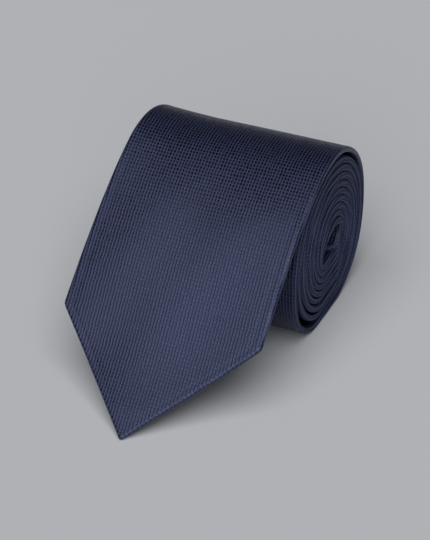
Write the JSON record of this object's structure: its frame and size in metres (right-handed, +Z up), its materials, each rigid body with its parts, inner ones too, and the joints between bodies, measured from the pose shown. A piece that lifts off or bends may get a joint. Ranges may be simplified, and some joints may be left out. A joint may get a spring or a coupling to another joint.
{
  "type": "necktie",
  "caption": "Rolled necktie in a dark basket weave: the pointed blade end drapes in front, and the blade and the outer turn lift away on hinge lines.",
  "frame": {"origin": "middle of the footprint on the table (centre of the bounding box's base)", "axes": "+X along the roll's axis, towards the end where the turns' edges are flush; -Y towards the blade's tip; +Z up"},
  "size_m": [0.085, 0.1564, 0.0723],
  "materials": {
    "outer_fabric": "navy woven silk in a small basket weave, soft sheen",
    "interlining": "undyed brushed wool",
    "lining": "plain navy satin lining",
    "thread": "navy silk sewing thread",
    "maker_label": "blank woven satin label",
    "care_label": "blank woven tape"
  },
  "bodies": {
    "roll": {"blade_shell_wound": "outer_fabric", "neck_shell": "outer_fabric", "tail_shell": "outer_fabric", "interlining_wound": "interlining", "slip_stitch_wound": "thread", "blade_neck_seam": "thread", "neck_tail_seam": "thread", "tail_lining": "lining", "tail_lining_stitches": "thread", "tail_bar_tack": "thread"},
    "outer_turn": {"blade_shell_outer_turn": "outer_fabric", "interlining_outer_turn": "interlining", "slip_stitch_outer_turn": "thread", "maker_label": "maker_label", "care_label": "care_label", "label_stitches": "thread", "keeper_loop": "outer_fabric", "keeper_loop_stitches": "thread"},
    "blade_end": {"blade_shell_end": "outer_fabric", "interlining_end": "interlining", "slip_stitch_end": "thread", "blade_lining": "lining", "blade_lining_stitches": "thread", "blade_bar_tack": "thread"}
  },
  "joints": [
    {"name": "outer_turn_peel", "type": "hinge", "parent": "roll", "child": "outer_turn", "pos_m": [0, 0.07776, 0.02922], "axis": [-1, 0, 0], "range_deg": [0, 100]},
    {"name": "blade_lift", "type": "hinge", "parent": "outer_turn", "child": "blade_end", "pos_m": [0, 0.02741, 0.07024], "axis": [-1, 0, 0], "range_deg": [0, 140]}
  ]
}
